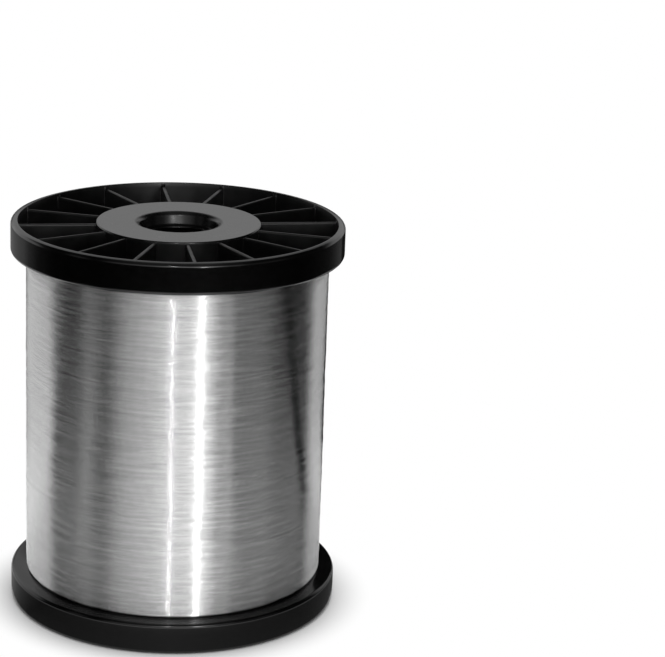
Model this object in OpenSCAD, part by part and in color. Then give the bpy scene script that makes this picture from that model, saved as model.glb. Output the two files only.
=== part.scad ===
// A full plastic spool of fine copper clad steel wire, standing on its lower flange.
// Millimetres, +Z up along the spindle axis, origin on the floor at the centre of the
// lower flange's rim. The two flanges are one moulding: the lower one is turned over.
// A flange is drawn with its inner face, which the wire lies against, at z = 0, and
// its outer edge at z = flange_h.

/* [Flanges] */
// Outside diameter of both flanges
flange_d = 200; // [190:1:230]
// Height of a flange's rim
flange_h = 19; // [17:0.5:24]
// Thickness of the rim at its edge
rim_wall = 4.3; // [4:0.1:6]
// Radius of the rim's outer edges
rim_round = 2.2; // [1:0.1:2.2]
// Width of the flat ring at the rim's inner edge, on which the spool stands
rim_land = 0.8; // [0.5:0.1:1.5]
// How far the rim's top falls from that ring out to the rim's side
rim_fall = 0.6; // [0.2:0.1:1]
// Thickness of the web that the wire lies against
web_t = 4; // [3:0.5:5]
// How much thicker the rim is at the web than at its edge
rim_draft = 1; // [0:0.1:1.5]

/* [Ribs] */
// Number of stiffening ribs round each flange
rib_count = 16; // [8:1:24]
// Thickness of a rib
rib_t = 2.2; // [1:0.1:3]
// How far the ribs' tops lie below the rim's edge
rib_drop = 2; // [1.5:0.5:4]

/* [Hub] */
// Outside diameter of the hub that the ribs run into
hub_d = 99; // [90:1:108]
// How far the hub's face lies below the rim's edge
hub_drop = 1; // [1:0.5:2]
// Thickness of the hub's face and of its walls
hub_wall = 3; // [2:0.5:4]
// Diameter of the recess round the bore
seat_d = 47.5; // [44:0.5:56]
// Depth of that recess below the hub's face
seat_depth = 7.5; // [5:0.5:8]
// Radius of the recess's upper edge
seat_round = 2; // [0.5:0.1:2.5]
// Diameter of the spindle bore
bore_d = 36; // [22:1:38]
// Length of the bore's sleeve below the recess
sleeve_len = 34; // [20:1:60]
// Radius of the hub's outer edge
edge_round = 0.8; // [0.2:0.1:1]

/* [Barrel] */
// Outside diameter of the barrel under the wire
barrel_d = 125; // [122:1:140]
// Wall thickness of the barrel
barrel_wall = 4; // [3:0.5:5]
// Length of the barrel, between the flanges
traverse = 200; // [120:1:260]
// Depth of the ring on each web that centres the barrel
spigot_len = 6; // [4:1:10]

/* [Wire] */
// Outside diameter of the wound wire
winding_d = 182; // [150:1:186]
// Radius of the winding's shoulders, where it meets the flanges
shoulder_round = 1; // [0.5:0.1:4]

/* [End disc] */
// Thickness of the disc that closes the lower flange
disc_t = 0.8; // [0.5:0.1:0.9]
// Gap between the disc and the rim round it
disc_gap = 0.6; // [0.3:0.1:1]
// Diameter of the hole in the disc
disc_hole_d = 46; // [40:1:60]

/* [Hidden] */
$fn = 180;
plastic = [0.07, 0.07, 0.075];
tinned_wire = [0.75, 0.75, 0.76];
dark_card = [0.16, 0.16, 0.165];

flange_r = flange_d / 2;
rim_r = flange_r - rim_wall;
floor_r = rim_r - rim_draft;
hub_r = hub_d / 2;
seat_r = seat_d / 2;
bore_r = bore_d / 2;
barrel_r = barrel_d / 2;
winding_r = winding_d / 2;
hub_face_z = flange_h - hub_drop;
seat_z = hub_face_z - seat_depth;
rib_top_z = flange_h - rib_drop;
barrel_slip = 0.1; // radial gap between the barrel and its spigot
rib_bite = 0.5;    // how far a rib's ends run into the hub and the rim
total_h = traverse + 2 * flange_h;

// A rectangle from (r0, z0) to (r1, z1) in a turned section. Its outer corners have the
// radii top and bottom.
module band(r0, z0, r1, z1, top = 0, bottom = 0) {
    side = max(top, bottom);
    translate([r0, z0])
        square([r1 - r0 - side, z1 - z0]);
    translate([r0, z0 + bottom])
        square([r1 - r0, z1 - z0 - top - bottom]);
    if (top > 0)
        translate([r1 - top, z1 - top])
            circle(top);
    if (bottom > 0)
        translate([r1 - bottom, z0 + bottom])
            circle(bottom);
    if (top < side)
        translate([r1 - side, z1 - side])
            square([side - top, side]);
}

// The rim: a flat ring at its inner edge, a slope and a rounding down to its side
module rim_section() {
    slope = atan(rim_fall / (rim_wall - rim_land));
    land_r = rim_r + rim_land;
    round_r = flange_r - rim_round;
    round_z = flange_h - (round_r - land_r) * tan(slope) - rim_round / cos(slope);
    band(rim_r, 0, flange_r, round_z, 0, rim_round);
    translate([round_r, round_z])
        circle(rim_round);
    polygon([[rim_r, round_z - 1], [rim_r, flange_h], [land_r, flange_h],
             [round_r + rim_round * sin(slope), round_z + rim_round * cos(slope)],
             [round_r, round_z - 1]]);
}

// The web, and the draft of the rim's inner wall above it
module web_section() {
    translate([hub_r - hub_wall, 0])
        square([rim_r - hub_r + hub_wall, web_t]);
    polygon([[floor_r, 0], [rim_r, 0], [rim_r, flange_h], [floor_r, web_t]]);
}

// The hub: an outer wall, a flat face, the recess round the bore and the bore's sleeve
module hub_section() {
    band(hub_r - hub_wall, 0, hub_r, hub_face_z, edge_round, 0);
    translate([seat_r + seat_round, hub_face_z - hub_wall])
        square([hub_r - hub_wall - seat_r - seat_round + 1, hub_wall]);
    translate([seat_r, seat_z - hub_wall])
        square([hub_wall, seat_depth + hub_wall - seat_round]);
    translate([seat_r + seat_round, hub_face_z - seat_round])
        circle(seat_round);
    translate([bore_r, seat_z - hub_wall])
        square([seat_r - bore_r + 1, hub_wall]);
    translate([bore_r, seat_z - sleeve_len])
        square([hub_wall, sleeve_len]);
}

// The ring that the end of the barrel slips over
module spigot_section() {
    spigot_r = barrel_r - barrel_wall - barrel_slip;
    translate([spigot_r - hub_wall, -spigot_len])
        square([hub_wall, spigot_len + web_t]);
}

module ribs() {
    for (i = [0 : rib_count - 1])
        rotate([0, 0, i * 360 / rib_count])
            translate([hub_r - rib_bite, -rib_t / 2, web_t - rib_bite])
                cube([rim_r - hub_r + 2 * rib_bite, rib_t, rib_top_z - web_t + rib_bite]);
}

module flange() {
    rotate_extrude() {
        rim_section();
        web_section();
        hub_section();
        spigot_section();
    }
    ribs();
}

module upper_flange() {
    color(plastic)
        translate([0, 0, flange_h + traverse])
            flange();
}

module lower_flange() {
    color(plastic)
        translate([0, 0, flange_h])
            mirror([0, 0, 1])
                flange();
}

module barrel() {
    color(plastic)
        translate([0, 0, flange_h])
            difference() {
                cylinder(h = traverse, r = barrel_r);
                translate([0, 0, -1])
                    cylinder(h = traverse + 2, r = barrel_r - barrel_wall);
            }
}

// All the turns of wire as one turned body with its bore on the barrel
module wire_winding() {
    color(tinned_wire)
        translate([0, 0, flange_h])
            rotate_extrude()
                band(barrel_r, 0, winding_r, traverse, shoulder_round, shoulder_round);
}

// The thin disc that closes the ribs of the lower flange, stuck to its hub
module end_disc() {
    color(dark_card)
        translate([0, 0, hub_drop - disc_t])
            difference() {
                cylinder(h = disc_t, r = rim_r - disc_gap);
                translate([0, 0, -1])
                    cylinder(h = disc_t + 2, r = disc_hole_d / 2);
            }
}

upper_flange();
lower_flange();
barrel();
wire_winding();
end_disc();
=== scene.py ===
import bpy
import numpy as np
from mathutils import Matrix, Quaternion, Vector


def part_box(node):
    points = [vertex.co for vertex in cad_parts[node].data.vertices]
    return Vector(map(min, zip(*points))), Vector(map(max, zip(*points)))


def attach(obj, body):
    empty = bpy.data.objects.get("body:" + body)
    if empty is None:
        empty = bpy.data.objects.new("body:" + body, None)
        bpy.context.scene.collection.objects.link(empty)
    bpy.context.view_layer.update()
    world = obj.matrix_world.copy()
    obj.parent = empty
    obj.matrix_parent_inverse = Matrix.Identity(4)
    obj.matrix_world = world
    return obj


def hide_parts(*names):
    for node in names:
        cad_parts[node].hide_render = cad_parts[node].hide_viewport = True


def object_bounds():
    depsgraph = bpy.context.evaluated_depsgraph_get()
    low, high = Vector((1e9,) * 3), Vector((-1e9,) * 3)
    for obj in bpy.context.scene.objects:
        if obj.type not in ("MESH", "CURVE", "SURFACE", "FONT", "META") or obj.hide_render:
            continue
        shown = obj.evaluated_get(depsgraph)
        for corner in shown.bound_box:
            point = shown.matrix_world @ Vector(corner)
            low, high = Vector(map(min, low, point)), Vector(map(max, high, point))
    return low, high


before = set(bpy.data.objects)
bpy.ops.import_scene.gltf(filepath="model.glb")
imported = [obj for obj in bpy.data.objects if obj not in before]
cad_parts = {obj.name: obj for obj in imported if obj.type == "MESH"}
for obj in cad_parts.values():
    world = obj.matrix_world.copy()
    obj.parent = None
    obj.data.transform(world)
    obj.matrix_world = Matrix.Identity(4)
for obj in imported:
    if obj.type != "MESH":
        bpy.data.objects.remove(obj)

mm = 0.001
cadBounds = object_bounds()
spoolLow, spoolHigh = (np.array(corner) for corner in cadBounds)
flangeRadius = (spoolHigh[0] - spoolLow[0]) / 2
spoolHeight = spoolHigh[2] - spoolLow[2]
windingLow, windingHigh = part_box("wire_winding")
windingRadius = windingHigh[0]
windingBottom, windingTop = windingLow[2], windingHigh[2]
flangeHeight = windingBottom
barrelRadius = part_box("barrel")[1][0]
print("frame loaded: flange radius", round(flangeRadius, 4), "height", round(spoolHeight, 4))


# A new object in the scene, for a mesh, a lamp or a camera.
def addObject(name, data):
    made = bpy.data.objects.new(name, data)
    bpy.context.scene.collection.objects.link(made)
    return made


# Puts a grid of points into a mesh. Rows run along a closed section, anticlockwise with the axis
# on the left, and columns run round the axis; both ways close on themselves, so the surface is a
# ring with its faces outwards. turnedOver reverses the rows of a section that was mirrored. An edge
# along a row in creaseRows is sharp, and so is one along a column between two points in corners.
# Each row has the number of its material in finishRows; a face takes the lower one of its two rows'.
def ringMesh(name, points, turnedOver=False, creaseRows=(), corners=None, finishRows=None):
    if turnedOver:
        points = points[::-1]
        corners = corners[::-1]
        finishRows = finishRows[::-1]
    rows, columns = points.shape[:2]
    index = np.arange(rows * columns).reshape(rows, columns)
    nextRow = np.roll(index, -1, axis=0)
    quads = np.stack([index, np.roll(index, -1, axis=1), np.roll(nextRow, -1, axis=1), nextRow], axis=-1)
    mesh = bpy.data.meshes.new(name)
    mesh.vertices.add(rows * columns)
    mesh.vertices.foreach_set("co", points.reshape(-1).astype(np.float32))
    mesh.loops.add(quads.size)
    mesh.loops.foreach_set("vertex_index", quads.reshape(-1).astype(np.int32))
    mesh.polygons.add(quads.size // 4)
    mesh.polygons.foreach_set("loop_start", np.arange(0, quads.size, 4, dtype=np.int32))
    mesh.update(calc_edges=True)
    mesh.polygons.foreach_set("use_smooth", np.ones(quads.size // 4, dtype=bool))
    ends = np.empty(len(mesh.edges) * 2, dtype=np.int32)
    mesh.edges.foreach_get("vertices", ends)
    ends = ends.reshape(-1, 2)
    edgeRows = ends // columns
    alongRow = edgeRows[:, 0] == edgeRows[:, 1]
    creased = alongRow & np.isin(edgeRows[:, 0], creaseRows)
    if corners is not None:
        creased |= ~alongRow & corners.reshape(-1)[ends].all(axis=1)
    sharp = mesh.attributes.new("sharp_edge", "BOOLEAN", "EDGE")
    sharp.data.foreach_set("value", creased)
    if finishRows is not None:
        finish = np.repeat(np.minimum(finishRows, np.roll(finishRows, -1)), columns)
        mesh.polygons.foreach_set("material_index", finish.astype(np.int32))
    mesh.validate()
    return addObject(name, mesh)


# A new node material with an object-coordinate source and a Principled shader.
def newMaterial(name):
    material = bpy.data.materials.new(name)
    material.use_nodes = True
    nodes, links = material.node_tree.nodes, material.node_tree.links
    return material, nodes, links, nodes["Principled BSDF"]


# Noise on the piece's own coordinates; scale is in waves per metre along X, Y and Z.
def addNoise(nodes, links, scale, detail=3.0, roughness=0.5):
    coordinates = nodes.new("ShaderNodeTexCoord")
    mapping = nodes.new("ShaderNodeMapping")
    mapping.inputs["Scale"].default_value = scale
    links.new(coordinates.outputs["Object"], mapping.inputs["Vector"])
    noise = nodes.new("ShaderNodeTexNoise")
    noise.inputs["Scale"].default_value = 1.0
    noise.inputs["Detail"].default_value = detail
    noise.inputs["Roughness"].default_value = roughness
    links.new(mapping.outputs["Vector"], noise.inputs["Vector"])
    return noise.outputs["Fac"]


# Turns a noise value, which mostly lies between fromLow and fromHigh, into one between low and high.
def addRange(nodes, links, value, low, high, fromLow=0.3, fromHigh=0.7):
    remap = nodes.new("ShaderNodeMapRange")
    remap.inputs["From Min"].default_value = fromLow
    remap.inputs["From Max"].default_value = fromHigh
    remap.inputs["To Min"].default_value = low
    remap.inputs["To Max"].default_value = high
    links.new(value, remap.inputs["Value"])
    return remap.outputs["Result"]


# A grey colour of the given brightness.
def addGrey(nodes, links, value):
    combine = nodes.new("ShaderNodeCombineColor")
    for channel in ("Red", "Green", "Blue"):
        links.new(value, combine.inputs[channel])
    return combine.outputs["Color"]


# Tilts the shader's surface by a height that goes from 0 to distance.
def addBump(nodes, links, shader, height, distance):
    bump = nodes.new("ShaderNodeBump")
    bump.inputs["Distance"].default_value = distance
    links.new(height, bump.inputs["Height"])
    links.new(bump.outputs["Normal"], shader.inputs["Normal"])


tinnedFinish = {
    "brightness": (0.68, 0.77),    # grey of the tin, from dull streaks to bright ones
    "roughness": (0.045, 0.235),   # the bright ones are the rough ones
    "alongWire": 32.0,             # waves per metre of the streaks, round the spool
    "acrossWire": 600.0,           # and up it
    "streakDetail": 3.0,
    "streakSharpness": 0.65,       # how strong the finest streaks are
}


# Bare tinned metal with streaks along the wire.
def tinnedMaterial(finish):
    material, nodes, links, shader = newMaterial("tinnedWire")
    streakScale = (finish["alongWire"], finish["alongWire"], finish["acrossWire"])
    streaks = addNoise(nodes, links, streakScale, finish["streakDetail"], finish["streakSharpness"])
    shader.inputs["Metallic"].default_value = 1.0
    links.new(addGrey(nodes, links, addRange(nodes, links, streaks, *finish["brightness"])),
              shader.inputs["Base Color"])
    links.new(addRange(nodes, links, streaks, *finish["roughness"]), shader.inputs["Roughness"])
    return material


# The outer faces are polished, the ribs and the pockets between them duller, the recess's wall lies
# between these two, and the hub's flat face is faintly mottled and painted grey: a painted sheen for
# the bright backdrop that the black plastic mirrors there, over a weaker real reflection.
mottleDetail = 4.0
grainDetail = 2.0
outerFinish = {
    "brightness": (0.0006, 0.0012),
    "roughness": (0.12, 0.16),
    "specularLevel": 0.5,
    "mottleScale": 260.0,    # waves per metre of the faint mottling
    "grainScale": 1900.0,    # waves per metre of the moulded grain
    "grainHeight": 0.002 * mm,
}
pocketFinish = {
    "brightness": (0.001, 0.003),
    "roughness": (0.30, 0.40),
    "specularLevel": 0.5,
    "mottleScale": 120.0,
    "grainScale": 1400.0,
    "grainHeight": 0.003 * mm,
}
seatFinish = {
    "brightness": (0.001, 0.003),
    "roughness": (0.20, 0.28),
    "specularLevel": 0.5,
    "mottleScale": 120.0,
    "grainScale": 1400.0,
    "grainHeight": 0.003 * mm,
}
# The hub's flat face: its grey brightness is painted sheen, standing in for the backdrop that its black
# plastic mirrors.
hubPaintedSheenFinish = {
    "brightness": (0.055, 0.083),
    "roughness": (0.17, 0.25),
    "specularLevel": 0.25,
    "mottleScale": 150.0,
    "grainScale": 1400.0,
    "grainHeight": 0.003 * mm,
}


# Moulded plastic: the mottling changes its grey and its roughness, and the grain is a fine bump.
def plasticMaterial(name, finish):
    material, nodes, links, shader = newMaterial(name)
    mottle = addNoise(nodes, links, (finish["mottleScale"],) * 3, mottleDetail)
    links.new(addGrey(nodes, links, addRange(nodes, links, mottle, *finish["brightness"])),
              shader.inputs["Base Color"])
    links.new(addRange(nodes, links, mottle, *finish["roughness"]), shader.inputs["Roughness"])
    shader.inputs["Specular IOR Level"].default_value = finish["specularLevel"]
    grain = addNoise(nodes, links, (finish["grainScale"],) * 3, grainDetail)
    addBump(nodes, links, shader, grain, finish["grainHeight"])
    return material


discFinish = {
    "brightness": (0.045, 0.06),
    "roughness": (0.38, 0.5),
    "cloudScale": 90.0,      # waves per metre
    "cloudDetail": 5.0,
}


# Smooth dark grey sheet, slightly cloudy.
def discMaterial(finish):
    material, nodes, links, shader = newMaterial("greyDisc")
    cloud = addNoise(nodes, links, (finish["cloudScale"],) * 3, finish["cloudDetail"])
    links.new(addGrey(nodes, links, addRange(nodes, links, cloud, *finish["brightness"])),
              shader.inputs["Base Color"])
    links.new(addRange(nodes, links, cloud, *finish["roughness"]), shader.inputs["Roughness"])
    return material


winding = {
    "wirePitch": 0.6 * mm,       # from one turn to the next
    "grooveDepth": 0.26 * mm,    # how deep the gap between two turns is
    "arcAngles": (-54, -18, 18, 54),   # degrees across the wire at which its surface has points
    "columns": 224,
    "bands": 4,                  # separate meshes up the spool
    "shoulderRounds": (3.0 * mm, 1.0 * mm),   # at the bottom and at the top
    "laySpread": 0.04 * mm,      # how unevenly groups of turns lie, in and out
    "layTurns": 4.0,             # how many turns such a group has
    "turnJitter": 0.015 * mm,    # and each turn by itself
    "spare": 0.2 * mm,           # how far below the winding's radius the turns lie on average
    "waveSlope": 0.006,          # slope of the waves along a turn
    "waveCount": (5, 28),        # waves in one turn, from the fewest to one more than the most
    "waveTurns": 1.3,            # how many turns have about the same waves
    "seed": 11,
}


# Random numbers of spread 1, smoothed along the first axis with a bell curve of the given width in
# rows: each is the sum of its neighbours' numbers times exp(-(distance / width)^2 / 2). Neighbours
# more than about cutoff widths away are left out.
def smoothNoise(random, shape, width, cutoff=4):
    span = int(width * cutoff) + 1
    weights = np.exp(-0.5 * (np.arange(-span, span + 1) / width) ** 2)
    weights /= np.sqrt((weights ** 2).sum())
    rough = random.standard_normal((shape[0] + 2 * span,) + tuple(shape[1:]))
    windows = np.lib.stride_tricks.sliding_window_view(rough, 2 * span + 1, axis=0)
    return windows @ weights


# How far the wire's centre lies from the spindle, turn by turn and round each turn. It is the
# winding's radius less the wire's and the spare, less the shoulder's rounding near the two ends,
# r - sqrt(r^2 - inset^2), plus slow random changes from turn to turn, plus waves round the turn: the
# sum of cosines and sines of whole wave numbers, whose sizes change slowly from turn to turn.
def turnRadii(values, centreHeight, wireRadius, angle):
    random = np.random.default_rng(values["seed"])
    turns = len(centreHeight)
    shoulder = np.zeros(turns)
    toEnds = (centreHeight - windingBottom, windingTop - centreHeight)
    for roundness, toEnd in zip(values["shoulderRounds"], toEnds):
        inset = np.clip(roundness - toEnd, 0, roundness)
        shoulder += roundness - np.sqrt(roundness ** 2 - inset ** 2)
    lay = values["laySpread"] * smoothNoise(random, (turns,), values["layTurns"])
    lay += values["turnJitter"] * random.standard_normal(turns)
    waveNumbers = np.arange(*values["waveCount"])
    slopeEach = values["waveSlope"] / np.sqrt(len(waveNumbers))
    sizes = slopeEach * windingRadius / waveNumbers
    cosines = smoothNoise(random, (turns, len(waveNumbers)), values["waveTurns"]) * sizes
    sines = smoothNoise(random, (turns, len(waveNumbers)), values["waveTurns"]) * sizes
    phase = waveNumbers[:, None] * angle[None, :]
    waves = cosines @ np.cos(phase) + sines @ np.sin(phase)
    spare = values["spare"]
    limit = windingRadius - wireRadius
    return limit - spare - shoulder[:, None] + np.clip(lay[:, None] + waves, -spare, spare)


# The outside of the winding: each turn is a ring of round wire. Across the wire, a point lies at
# the wire's centre plus its radius times (cos a, sin a) for a few angles a, and a groove point lies
# halfway to the next turn.
def windingSurface(values):
    turns = int(round((windingTop - windingBottom) / values["wirePitch"]))
    pitch = (windingTop - windingBottom) / turns
    wireRadius = pitch / 2
    angle = np.linspace(0, 2 * np.pi, values["columns"], endpoint=False)
    centreHeight = windingBottom + (np.arange(turns) + 0.5) * pitch
    centreRadius = turnRadii(values, centreHeight, wireRadius, angle)
    edgeHeight = windingBottom + np.arange(turns + 1) * pitch
    padded = np.concatenate([centreRadius[:1], centreRadius, centreRadius[-1:]])
    edgeRadius = (padded[:-1] + padded[1:]) / 2 + wireRadius - values["grooveDepth"]
    arcs = np.radians(np.array(values["arcAngles"], dtype=float))
    rowCount = 1 + len(arcs)
    radius = np.empty((turns * rowCount + 1, len(angle)))
    height = np.empty_like(radius)
    radius[::rowCount] = edgeRadius
    height[::rowCount] = edgeHeight[:, None]
    for place, tilt in enumerate(arcs, start=1):
        radius[place::rowCount] = centreRadius + wireRadius * np.cos(tilt)
        height[place::rowCount] = centreHeight[:, None] + wireRadius * np.sin(tilt)
    return radius, height, angle, turns, rowCount


# Cuts the winding's surface into bands of whole turns and closes each with its stretch of the bore.
def makeWinding(values, material):
    radius, height, angle, turns, rowCount = windingSurface(values)
    stops = np.linspace(0, turns, values["bands"] + 1).round().astype(int) * rowCount
    for band, (first, last) in enumerate(zip(stops[:-1], stops[1:]), start=1):
        boreRadius = np.full((1, len(angle)), barrelRadius)
        bandRadius = np.concatenate([radius[first:last + 1], boreRadius, boreRadius])
        boreHeights = np.stack([height[last], height[first]])
        bandHeight = np.concatenate([height[first:last + 1], boreHeights])
        points = np.stack([bandRadius * np.cos(angle), bandRadius * np.sin(angle), bandHeight], axis=-1)
        boreRows = last - first + np.array([1, 2])
        grooves = np.concatenate([np.arange(0, last - first + 1, rowCount), boreRows])
        piece = ringMesh(f"wireTurns{band}", points, creaseRows=grooves)
        piece.data.materials.append(material)
        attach(piece, "root")
        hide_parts("wire_winding")
    print("winding made:", turns, "turns in", values["bands"], "bands")


flange = {
    "rimWall": 4.3 * mm,         # thickness of the rim at its edge
    "rimDraft": 1.0 * mm,        # how much thicker it is at the web
    "ribTopDraft": 0.2 * mm,     # and just below the ribs' tops
    "rimRound": 2.2 * mm,
    "rimLand": 0.8 * mm,         # flat ring at the rim's inner edge
    "rimFall": 0.6 * mm,         # how far the rim's top slopes down to its side
    "landRound": 2.0 * mm,       # rounding between the flat ring and the slope
    "innerEdge": 0.4 * mm,       # rounding of the rim's inner edge
    "webThickness": 4.0 * mm,
    "footRound": 1.0 * mm,       # where walls meet the web
    "hold": 0.3 * mm,            # how close to a rounding the outline has a point on the straight
    "ribCount": 16,
    "ribThickness": 2.2 * mm,
    "ribRound": 0.7 * mm,        # rounding of a rib's top edges
    "ribDraft": 0.25 * mm,       # how far each side of a rib leans out down to the web
    "ribDrop": 2.0 * mm,         # from the rim's edge down to the ribs' tops
    "hubRadius": 49.5 * mm,
    "hubDraft": 0.15 * mm,       # how far the hub's outer wall leans out down to the web
    "hubDrop": 1.0 * mm,         # from the rim's edge down to the hub's face
    "hubWall": 3.0 * mm,
    "seatRadius": 23.75 * mm,
    "seatDepth": 7.5 * mm,
    "seatDraft": 1.3 * mm,       # how much narrower the recess is at its floor
    "seatRound": 3.0 * mm,       # rounding of the recess's upper edge
    "edgeRound": 0.8 * mm,       # rounding of the hub's other edges
    "boreRadius": 18.0 * mm,
    "sleeveLength": 34.0 * mm,   # of the bore below the recess
    "spigotGap": 4.1 * mm,       # the barrel's wall and its slip on the ring inside it
    "spigotLength": 6.0 * mm,
    "pocketColumns": 6,          # steps of the surface from one rib's foot to the next one's
}


# A closed outline in the radius and height plane. A corner is its radius and height, the radius of
# its rounding and how many points that has; a corner without rounding stays one point. The arc
# starts and ends at equal distances from the corner, the rounding's radius over the tangent of half
# the corner's angle, and its points turn evenly about its centre.
def roundedOutline(corners):
    places = np.array([corner[:2] for corner in corners], dtype=float)
    outline = []
    for number, (radius, height, bend, steps) in enumerate(corners):
        here = places[number]
        back = places[number - 1] - here
        ahead = places[(number + 1) % len(corners)] - here
        back /= np.linalg.norm(back)
        ahead /= np.linalg.norm(ahead)
        if bend == 0:
            outline.append(here[None])
            continue
        half = np.arccos(np.clip(back @ ahead, -1, 1)) / 2
        middle = (back + ahead) / np.linalg.norm(back + ahead)
        centre = here + middle * bend / np.sin(half)
        start = here + back * bend / np.tan(half) - centre
        end = here + ahead * bend / np.tan(half) - centre
        turn = np.arctan2(start[0] * end[1] - start[1] * end[0], start @ end)
        angles = turn * np.linspace(0, 1, steps)
        outline.append(centre + np.stack([
            start[0] * np.cos(angles) - start[1] * np.sin(angles),
            start[0] * np.sin(angles) + start[1] * np.cos(angles)], axis=-1))
    return np.concatenate(outline)


# The flange's section, with the face that the wire lies against at height 0. The corners run up
# the rim, in over the pockets and the hub, down the bore and back out under the web.
def flangeOutline(values):
    top = flangeHeight
    rimInner = flangeRadius - values["rimWall"]
    hub = values["hubRadius"]
    hubTop = top - values["hubDrop"]
    seat = hubTop - values["seatDepth"]
    wall = values["hubWall"]
    web = values["webThickness"]
    bore = values["boreRadius"]
    sleeveEnd = seat - values["sleeveLength"]
    spigot = barrelRadius - values["spigotGap"]
    small = values["edgeRound"]
    foot = values["footRound"]
    hold = values["hold"]
    rimFoot = rimInner - values["rimDraft"]
    hubFoot = hub + values["hubDraft"]
    return roundedOutline([
        (flangeRadius, 0, values["rimRound"], 9),
        (flangeRadius, values["rimRound"] + hold, 0, 1),
        (flangeRadius, top - values["rimFall"] - values["rimRound"] - hold, 0, 1),
        (flangeRadius, top - values["rimFall"], values["rimRound"], 13),
        (rimInner + values["rimLand"], top, values["landRound"], 3),
        (rimInner, top, values["innerEdge"], 5),
        (rimInner - values["ribTopDraft"], top - values["ribDrop"] - values["ribRound"], 0, 1),
        (rimFoot, web, foot, 5),
        (rimFoot - foot - hold, web, 0, 1),
        (hubFoot + foot + hold, web, 0, 1),
        (hubFoot, web, foot, 5),
        (hub, top - values["ribDrop"] - values["ribRound"], 0, 1),
        (hub, hubTop, small, 5),
        (hub - small - hold, hubTop, 0, 1),
        (values["seatRadius"] + values["seatRound"] + hold, hubTop, 0, 1),
        (values["seatRadius"], hubTop, values["seatRound"], 7),
        (values["seatRadius"] - values["seatDraft"], seat, small, 4),
        (bore, seat, small, 5),
        (bore, sleeveEnd, 0, 1),
        (bore + wall, sleeveEnd, 0, 1),
        (bore + wall, seat - wall, small, 3),
        (values["seatRadius"] + wall, seat - wall, small, 3),
        (values["seatRadius"] + wall, hubTop - wall, small, 3),
        (hub - wall, hubTop - wall, small, 3),
        (hub - wall, 0, 0, 1),
        (spigot - wall, 0, 0, 1),
        (spigot - wall, -values["spigotLength"], 0, 1),
        (spigot, -values["spigotLength"], 0, 1),
        (spigot, 0, 0, 1),
    ])


# The columns of one rib and of the pocket after it: how far the rib's lie from its middle line, the
# height of the rib there, the places of the pocket's from 0 to 1 across it, and how far the rib's
# foot reaches. The rib's top edge and its foot are quarter circles, taken at 0, 30, 60 and 90
# degrees, with two points on the straight between them.
def ribColumns(values):
    top = flangeHeight - values["ribDrop"]
    web = values["webThickness"]
    half = values["ribThickness"] / 2
    edge, foot, draft = values["ribRound"], values["footRound"], values["ribDraft"]
    quarter = np.radians([0, 30, 60, 90])
    straight = np.array([0.05, 0.95])
    fall = (web + foot) - (top - edge)
    side = np.concatenate([half - edge + edge * np.sin(quarter), half + draft * straight,
                           half + draft + foot * (1 - np.cos(quarter))])
    rise = np.concatenate([top - edge * (1 - np.cos(quarter)), top - edge + fall * straight,
                           web + foot * (1 - np.sin(quarter))])
    offset = np.concatenate([-side[::-1], [0], side])
    height = np.concatenate([rise[::-1], [top], rise])
    inner = np.arange(1, values["pocketColumns"]) / values["pocketColumns"]
    return offset, height, inner, side[-1]


# The order of a flange's four finishes
outerNumber, pocketNumber, seatNumber, hubNumber = range(4)
hair = 0.001 * mm                # two places this close are one


# The flange: the section carried round the axis. Between the rim's wall and the hub's wall a
# column is lifted to its own lowest height, which raises the ribs out of the web. The corners are
# where a rib's side meets those walls.
def flangeSurface(values):
    outline = flangeOutline(values)
    radius, height = outline[:, 0], outline[:, 1]
    ribOffset, ribHeight, inner, footEdge = ribColumns(values)
    between = np.clip(radius, values["hubRadius"], flangeRadius)[:, None]
    spacing = 2 * np.pi / values["ribCount"]
    ribAngle = ribOffset[None, :] / between
    pocketAngle = footEdge / between + inner[None, :] * (spacing - 2 * footEdge / between)
    angle = np.concatenate([ribAngle, pocketAngle], axis=1)
    lowest = np.concatenate([ribHeight, np.full(len(inner), values["webThickness"])])
    rimInner = flangeRadius - values["rimWall"]
    inPocket = (radius > values["hubRadius"] - hair) & (radius < rimInner + hair)
    inPocket &= height > values["webThickness"] / 2
    lifted = np.where(inPocket[:, None], np.maximum(height[:, None], lowest[None, :]), height[:, None])
    onRimWall = radius > rimInner - values["rimDraft"] - hair
    onHubWall = radius < values["hubRadius"] + hair
    onWall = inPocket & (onRimWall | onHubWall)
    atFoot = np.zeros(angle.shape[1], dtype=bool)
    atFoot[[0, len(ribOffset) - 1]] = True
    corners = np.tile(onWall[:, None] & atFoot, (1, values["ribCount"]))
    angle = np.concatenate([angle + spacing * rib for rib in range(values["ribCount"])], axis=1)
    lifted = np.tile(lifted, (1, values["ribCount"]))
    wide = np.broadcast_to(radius[:, None], angle.shape)
    hubTop = flangeHeight - values["hubDrop"]
    # The hub's flat face takes the finish whose grey is painted sheen.
    onHub = (height > hubTop - hair) & (radius < values["hubRadius"])
    seatEdge = values["seatRadius"] + values["seatRound"]
    inSeat = (height > hubTop - values["seatDepth"] - hair) & (radius < seatEdge)
    finishRows = np.select([onHub, inSeat, inPocket], [hubNumber, seatNumber, pocketNumber], outerNumber)
    points = np.stack([wide * np.cos(angle), wide * np.sin(angle), lifted], axis=-1)
    return points, corners, finishRows


# One surface makes both flanges; the lower one is turned over.
def makeFlanges(values, finishes):
    points, corners, finishRows = flangeSurface(values)
    upper = points + np.array([0, 0, windingTop])
    lower = points * np.array([1, 1, -1]) + np.array([0, 0, windingBottom])
    for node, grid, turnedOver in (("upper_flange", upper, False), ("lower_flange", lower, True)):
        piece = ringMesh(node + "_moulding", grid, turnedOver, corners=corners, finishRows=finishRows)
        for material in finishes:
            piece.data.materials.append(material)
        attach(piece, "root")
        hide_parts(node)
    print("flanges made:", points.shape[0], "rows by", points.shape[1], "columns")


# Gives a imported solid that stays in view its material.
def dressNode(node, material):
    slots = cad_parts[node].data.materials
    slots.clear()
    slots.append(material)


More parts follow.
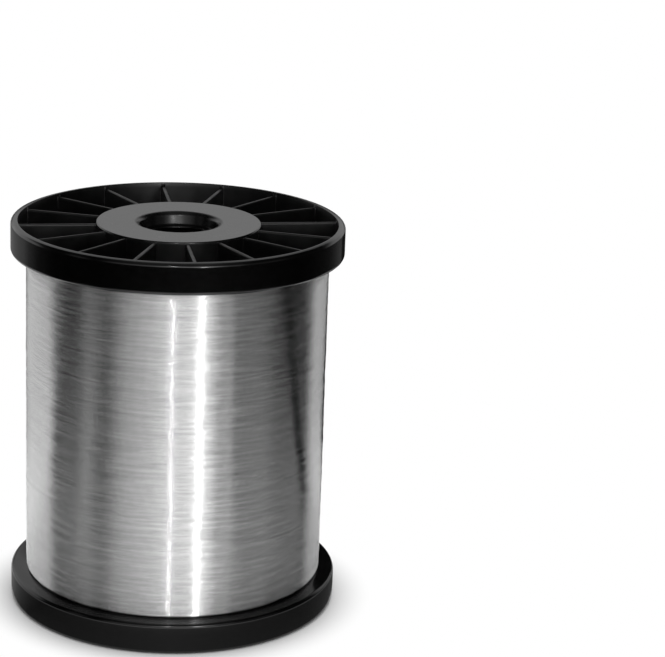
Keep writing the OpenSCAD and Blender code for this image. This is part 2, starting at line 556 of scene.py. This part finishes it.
camera = {
    "lens": 131.66,         # millimetres, on a sensor of the width below
    "sensor": 36,
    "distance": 1.493,      # from the spool's middle
    "elevation": 18.69,     # degrees above the level of the spool's middle
    "heading": -6.2,        # degrees from the -Y side, anticlockwise as seen from above
    "aimRight": 0.0955,     # metres from the spool's middle to the middle of the view
    "aimUp": 0.0506,
    "roll": 2.10,           # degrees that the camera is turned about its line of sight
    "farthest": 50,         # metres that it sees
}


# The camera stands on a sphere round the spool's middle and looks at a point beside it.
def makeCamera(values):
    turn = np.radians(values["heading"])
    lift = np.radians(values["elevation"])
    right = np.array([np.cos(turn), np.sin(turn), 0])
    level = np.array([-np.sin(turn), np.cos(turn), 0])
    outward = -level * np.cos(lift) + np.array([0, 0, np.sin(lift)])
    up = np.cross(right, -outward)
    middle = np.array([0, 0, spoolHeight / 2])
    place = middle + outward * values["distance"]
    aim = middle + right * values["aimRight"] + up * values["aimUp"]
    facing = Vector(aim - place).to_track_quat("-Z", "Y")
    rolled = facing @ Quaternion((0, 0, 1), np.radians(values["roll"]))
    data = bpy.data.cameras.new("camera")
    data.lens = values["lens"]
    data.sensor_width = values["sensor"]
    data.clip_end = values["farthest"]
    made = addObject("camera", data)
    made.location = place
    made.rotation_mode = "QUATERNION"
    made.rotation_quaternion = rolled
    bpy.context.scene.camera = made
    print("camera placed")


# The floor keeps the shadow near the spool and fades to plain white further out.
stageFloor = {
    "reach": 12.0,
    "grey": 0.86,
    "roughness": 0.9,
    "fade": (0.095, 0.125),  # distances from the spindle at which its shading starts and ends to fade
}


# Fades from the floor's own shading to plain white between two distances from the spindle, for the
# camera and for reflections.
def floorMaterial(values):
    material, nodes, links, shader = newMaterial("paleFloor")
    shader.inputs["Base Color"].default_value = (values["grey"],) * 3 + (1,)
    shader.inputs["Roughness"].default_value = values["roughness"]
    shader.inputs["Specular IOR Level"].default_value = 0.0
    coordinates = nodes.new("ShaderNodeTexCoord")
    length = nodes.new("ShaderNodeVectorMath")
    length.operation = "LENGTH"
    links.new(coordinates.outputs["Object"], length.inputs[0])
    fade = nodes.new("ShaderNodeMapRange")
    fade.interpolation_type = "SMOOTHSTEP"
    fade.inputs["From Min"].default_value, fade.inputs["From Max"].default_value = values["fade"]
    links.new(length.outputs["Value"], fade.inputs["Value"])
    plain = nodes.new("ShaderNodeEmission")
    path = nodes.new("ShaderNodeLightPath")
    seen = nodes.new("ShaderNodeMath")
    seen.operation = "MAXIMUM"
    links.new(path.outputs["Is Camera Ray"], seen.inputs[0])
    links.new(path.outputs["Is Glossy Ray"], seen.inputs[1])
    share = nodes.new("ShaderNodeMath")
    share.operation = "MULTIPLY"
    links.new(seen.outputs["Value"], share.inputs[0])
    links.new(fade.outputs["Result"], share.inputs[1])
    mix = nodes.new("ShaderNodeMixShader")
    links.new(share.outputs["Value"], mix.inputs["Fac"])
    links.new(shader.outputs["BSDF"], mix.inputs[1])
    links.new(plain.outputs["Emission"], mix.inputs[2])
    links.new(mix.outputs["Shader"], nodes["Material Output"].inputs["Surface"])
    return material


# A flat sheet with four corners.
def makeSheet(name, corners, material):
    mesh = bpy.data.meshes.new(name)
    mesh.from_pydata(corners, [], [(0, 1, 2, 3)])
    mesh.materials.append(material)
    return addObject(name, mesh)


def makeFloor(values):
    reach = values["reach"]
    corners = [(-reach, -reach, 0), (reach, -reach, 0), (reach, reach, 0), (-reach, reach, 0)]
    floor = makeSheet("floor", corners, floorMaterial(values))


# Leaves a piece of the stage visible to reflections alone.
def hideFromOtherRays(piece):
    for ray in ("camera", "diffuse", "transmission", "shadow", "volume_scatter"):
        setattr(piece, "visible_" + ray, False)


# A dome round the spool that only reflections see. Bearings are in degrees from the camera's side
# to its right, and a table of pairs gives a brightness or a share at each of a few places, straight
# in between.
stageDome = {
    "radius": 1.2,
    "start": 0.102,          # where the dome begins on the floor, beside the spool
    "bend": 0.15,            # radius of the quarter circle from the floor to the wall
    "wallTop": 1.05,         # height at which the wall starts to bend in over the top
    "capAngle": 88,          # degrees that it bends there
    "offFloor": 1 * mm,
    "rows": (60, 7, 30, 15),      # along the floor, the quarter circle, the wall and the top
    "columns": 720,
    "roomGlow": 0.02,        # brightness where there is no panel
    "wallShare": ((0.80, 1.0), (1.00, 0.20)),   # how much of the panels shows, by height
    "roundReach": (0.25, 0.32),   # the bright floor round the spool
    "roundGlow": 0.80,
    "nearReach": (0.14, 0.16),    # the floor beside the spool, which the lower flange's side mirrors
    "nearGlow": ((-180, 0.45), (-110, 0.28), (-65, 0.06), (0, 0.32), (60, 0.10), (110, 0.06),
                 (180, 0.08)),
    "ringReach": (0.60, 0.68),    # the ring that the upper one's side mirrors, up to the wall's foot
    "ringTop": (0.14, 0.22),
    "ringGlow": ((-180, 0.18), (-125, 0.24), (-105, 0.04), (-85, 0.0), (-40, 0.0), (0, 0.03),
                 (45, 0.03), (85, 0.0), (120, 0.03), (150, 0.15), (180, 0.18)),
    "backdropGlow": 0.53,    # the bright wall straight behind the spool, with its share by bearing
    "backdropShare": ((-180, 1), (-166, 1), (-150, 0), (162, 0), (170, 1), (180, 1)),
    "backdropTop": 1.25,
    "backdropFoot": (0.36, 0.46),   # heights between which the darkness below it fades out
    "footShare": ((-180, 1), (-160, 1), (-145, 0), (145, 0), (160, 1), (180, 1)),   # of that darkness
}
# Upright soft-edged panels of the dome. Each is placed by where it shows across the winding, from -1
# at the left edge to 1 at the right: where it begins and ends, how wide its two soft edges are, and
# how bright it is.
panels = {
    "leftEdge": {"reach": (-1.20, -0.765), "soft": (0.10, 0.06), "glow": 0.77},
    "leftStrip": {"reach": (-0.64, -0.48), "soft": (0.08, 0.08), "glow": 0.23},
    "leftRise": {"reach": (-0.44, 0.265), "soft": (0.12, 0.05), "glow": 0.49},
    "front": {"reach": (-0.31, 0.28), "soft": (0.20, 0.36), "glow": 0.45},
    "besideLamp": {"reach": (0.02, 0.265), "soft": (0.08, 0.07), "glow": 0.25},
    "lampBand": {"reach": (0.09, 0.235), "soft": (0.045, 0.095), "glow": 0.60},
    "rightStrip": {"reach": (0.21, 0.385), "soft": (0.04, 0.035), "glow": 0.38},
    "rightGrey": {"reach": (0.21, 0.66), "soft": (0.04, 0.10), "glow": 0.12},
    "rightEdge": {"reach": (0.85, 1.20), "soft": (0.05, 0.10), "glow": 0.65},
}
# One more panel, only between two heights, straight in front
frontBox = {"reach": (-0.14, 0.28), "soft": (0.14, 0.08), "glow": 1.6, "height": (0.35, 0.75)}
# A dark gap in the bright floor, with how much darker it is
darkGap = {"reach": (0.772, 0.84), "soft": (0.02, 0.02), "glow": 0.80}


# The dome's section: out along the floor, up in a quarter circle, up the wall and in over the top.
def domeSection(values):
    outer, bend, top = values["radius"], values["bend"], values["wallTop"]
    floorRows, bendRows, wallRows, capRows = values["rows"]
    flat = np.linspace(values["start"], outer - bend, floorRows)[:-1]
    quarter = np.radians(np.linspace(0, 90, bendRows))
    wall = np.linspace(bend, top, wallRows)[1:-1]
    cap = np.radians(np.linspace(0, values["capAngle"], capRows))
    radius = np.concatenate([flat, outer - bend + bend * np.sin(quarter), np.full(len(wall), outer),
                             outer * np.cos(cap)])
    height = np.concatenate([np.zeros(len(flat)), bend * (1 - np.cos(quarter)), wall,
                             top + outer * np.sin(cap)])
    return radius, height + values["offFloor"]


# Where across the winding the camera sees each point of the dome. A turn of wire mirrors a point
# when its surface faces halfway between the point and the camera, so the place is the sine of the
# bearing of that halfway direction. The mirroring spot moves with the bearing, so it is found again
# a few times.
def placeOnWinding(points, eye, rounds=6):
    bearing = np.zeros(points.shape[:2])
    for _ in range(rounds):
        spot = np.stack([windingRadius * np.sin(bearing), -windingRadius * np.cos(bearing),
                         np.full(bearing.shape, spoolHeight / 2)], axis=-1)
        toPoint = points - spot
        toEye = eye - spot
        halfway = toPoint / np.linalg.norm(toPoint, axis=-1, keepdims=True)
        halfway = halfway + toEye / np.linalg.norm(toEye, axis=-1, keepdims=True)
        bearing = np.clip(np.arctan2(halfway[..., 0], -halfway[..., 1]), -np.pi / 2, np.pi / 2)
    return np.sin(bearing)


# A panel's brightness, which rises and falls in straight slopes over its soft edges.
def panelGlow(place, panel):
    (start, end), (softStart, softEnd) = panel["reach"], panel["soft"]
    rise = np.clip((place - start) / softStart, 0, 1)
    fall = np.clip((end - place) / softEnd, 0, 1)
    return panel["glow"] * np.minimum(rise, fall)


# From 0 at the first of two stops to 1 at the second.
def ramp(value, stops):
    return np.clip((value - stops[0]) / (stops[1] - stops[0]), 0, 1)


# The value at a place between the pairs of a table, on the straight line from one pair to the next.
def readTable(place, pairs):
    return np.interp(place, *np.array(pairs).T)


# How bright each point of the dome is. The panels, the box in front and the bright floor are added
# up. The floor beside the spool, the ring and the backdrop are then blended over what is there: the
# new value less the old one, times a share, is added. Last, the backdrop's foot is darkened.
def domeGlow(values, radius, height, bearing, place):
    degrees = np.degrees(bearing)
    glow = values["roomGlow"] + sum(panelGlow(place, panel) for panel in panels.values())
    glow = glow * readTable(height, values["wallShare"])[:, None]
    boxLow, boxHigh = frontBox["height"]
    glow += panelGlow(place, frontBox) * ((height > boxLow) & (height < boxHigh))[:, None]
    onFloor = height < values["bend"]
    around = (1 - ramp(radius, values["roundReach"])) * onFloor
    glow += (values["roundGlow"] - panelGlow(place, darkGap)) * around[:, None]
    near = (1 - ramp(radius, values["nearReach"])) * onFloor
    glow += (readTable(degrees, values["nearGlow"])[None, :] - glow) * near[:, None]
    ring = ramp(radius, values["ringReach"]) * (1 - ramp(height, values["ringTop"]))
    glow += (readTable(degrees, values["ringGlow"])[None, :] - glow) * ring[:, None]
    aboveRing = height > values["ringTop"][1]
    behind = aboveRing & (height < values["backdropTop"])
    share = readTable(degrees, values["backdropShare"])[None, :] * behind[:, None]
    glow += (values["backdropGlow"] - glow) * share
    low = (1 - ramp(height, values["backdropFoot"])) * aboveRing
    glow *= 1 - readTable(degrees, values["footShare"])[None, :] * low[:, None]
    return glow


# Glows by the dome's own brightness at each point.
def domeMaterial():
    material, nodes, links, shader = newMaterial("domeGlow")
    nodes.remove(shader)
    attribute = nodes.new("ShaderNodeAttribute")
    attribute.attribute_name = "glow"
    emission = nodes.new("ShaderNodeEmission")
    links.new(attribute.outputs["Fac"], emission.inputs["Strength"])
    links.new(emission.outputs["Emission"], nodes["Material Output"].inputs["Surface"])
    material.cycles.emission_sampling = "NONE"
    return material


# The dome is its section carried round the spool and turned to face the camera. Its dark and light
# panels are cut so that their edges show as upright lines on the winding from the camera's side.
def makeDome(values, view):
    radius, height = domeSection(values)
    bearing = np.linspace(-np.pi, np.pi, values["columns"])
    points = np.stack([radius[:, None] * np.sin(bearing), -radius[:, None] * np.cos(bearing),
                       np.broadcast_to(height[:, None], (len(radius), len(bearing)))], axis=-1)
    lift = np.radians(view["elevation"])
    middle = np.array([0, 0, spoolHeight / 2])
    eye = np.array([0, -np.cos(lift), np.sin(lift)]) * view["distance"] + middle
    glow = domeGlow(values, radius, height, bearing, placeOnWinding(points, eye))
    turn = np.radians(view["heading"])
    across, along, up = points[..., 0], points[..., 1], points[..., 2]
    turned = np.stack([across * np.cos(turn) - along * np.sin(turn),
                       across * np.sin(turn) + along * np.cos(turn), up], axis=-1)
    rows, columns = turned.shape[:2]
    index = np.arange(rows * columns).reshape(rows, columns)
    quads = np.stack([index[:-1, :-1], index[:-1, 1:], index[1:, 1:], index[1:, :-1]], axis=-1)
    mesh = bpy.data.meshes.new("studioDome")
    mesh.from_pydata(turned.reshape(-1, 3).tolist(), [], quads.reshape(-1, 4).tolist())
    brightness = mesh.attributes.new("glow", "FLOAT", "POINT")
    brightness.data.foreach_set("value", glow.reshape(-1).astype(np.float32))
    mesh.materials.append(domeMaterial())
    dome = addObject("studioDome", mesh)
    hideFromOtherRays(dome)


# A dark card low behind the spool on its right, for reflections alone. The lower flange's upper
# face mirrors it and the upper flange, which lies higher, doesn't.
card = {
    "across": (0.04, 0.24),  # its two sides, to the right of the spindle
    "behind": 0.25,
    "height": 0.20,
    "brightness": (0.01, 0.02),
    "shadeScale": 20.0,      # waves per metre
}


def cardMaterial(values):
    material, nodes, links, shader = newMaterial("darkCard")
    shader.inputs["Roughness"].default_value = 1.0
    shader.inputs["Specular IOR Level"].default_value = 0.0
    shade = addNoise(nodes, links, (values["shadeScale"],) * 3)
    links.new(addGrey(nodes, links, addRange(nodes, links, shade, *values["brightness"])),
              shader.inputs["Base Color"])
    return material


def makeCard(values, heading):
    low, high = values["across"]
    turn = np.radians(heading)
    corners = [(low, 0.0), (high, 0.0), (high, values["height"]), (low, values["height"])]
    points = [(side * np.cos(turn) - values["behind"] * np.sin(turn),
               side * np.sin(turn) + values["behind"] * np.cos(turn), up) for side, up in corners]
    made = makeSheet("darkCard", points, cardMaterial(values))
    hideFromOtherRays(made)


skyLevel = 0.80                  # light from all round, for surfaces that aren't mirror-like


# White behind the spool for the camera and for reflections, softer light from all round for the rest.
def makeWorld(level):
    world = bpy.data.worlds.new("studio")
    bpy.context.scene.world = world
    world.use_nodes = True
    nodes, links = world.node_tree.nodes, world.node_tree.links
    sky = nodes["Background"]
    sky.inputs["Strength"].default_value = level
    sky.inputs["Color"].default_value = (1, 1, 1, 1)
    white = nodes.new("ShaderNodeBackground")
    white.inputs["Color"].default_value = (1, 1, 1, 1)
    path = nodes.new("ShaderNodeLightPath")
    seen = path.outputs["Is Camera Ray"]
    for ray in ("Is Glossy Ray", "Is Transmission Ray"):
        either = nodes.new("ShaderNodeMath")
        either.operation = "MAXIMUM"
        links.new(seen, either.inputs[0])
        links.new(path.outputs[ray], either.inputs[1])
        seen = either.outputs["Value"]
    mix = nodes.new("ShaderNodeMixShader")
    links.new(seen, mix.inputs["Fac"])
    links.new(sky.outputs["Background"], mix.inputs[1])
    links.new(white.outputs["Background"], mix.inputs[2])
    links.new(mix.outputs["Shader"], nodes["World Output"].inputs["Surface"])


# Two small soft boxes stand by the camera, and a large one hangs over the spool. A lamp's bearing
# is in degrees from the camera's side to its right, and its distance is from the spindle.
lamps = {
    "broadLamp": {"bearing": 17.2, "distance": 1.0, "height": 0.33, "size": (0.065, 0.35),
                  "power": 0.75, "mirrored": True},
    "narrowLamp": {"bearing": -3.2, "distance": 1.0, "height": 0.75, "size": (0.02, 0.10),
                   "power": 0.6, "mirrored": True},
    "topLamp": {"bearing": 160.0, "distance": 0.5, "height": 1.6, "size": (0.9, 0.9),
                "power": 5.0, "mirrored": False},
}


def makeLamps(heading):
    middle = Vector((0, 0, spoolHeight / 2))
    for name, values in lamps.items():
        data = bpy.data.lights.new(name, "AREA")
        data.shape = "RECTANGLE"
        data.size, data.size_y = values["size"]
        data.energy = values["power"]
        lamp = addObject(name, data)
        bearing = np.radians(-90 + heading + values["bearing"])
        lamp.location = (values["distance"] * np.cos(bearing), values["distance"] * np.sin(bearing),
                         values["height"])
        lamp.rotation_mode = "QUATERNION"
        lamp.rotation_quaternion = (middle - lamp.location).to_track_quat("-Z", "Y")
        lamp.visible_camera = False
        lamp.visible_glossy = values["mirrored"]


# The stage and its light, shown without a film's tone curve.
def makeStudio():
    makeFloor(stageFloor)
    makeDome(stageDome, camera)
    makeCard(card, camera["heading"])
    makeWorld(skyLevel)
    makeLamps(camera["heading"])
    bpy.context.scene.view_settings.view_transform = "Standard"
    print("studio made")


makeCamera(camera)
outerPlastic = plasticMaterial("polishedPlastic", outerFinish)
makeWinding(winding, tinnedMaterial(tinnedFinish))
# The hub's flat face gets a material whose grey is painted sheen.
makeFlanges(flange, [outerPlastic, plasticMaterial("pocketPlastic", pocketFinish),
                     plasticMaterial("seatPlastic", seatFinish), plasticMaterial("hubPlasticPaintedSheen", hubPaintedSheenFinish)])
dressNode("barrel", outerPlastic)
dressNode("end_disc", discMaterial(discFinish))
print("barrel and end disc dressed")
makeStudio()
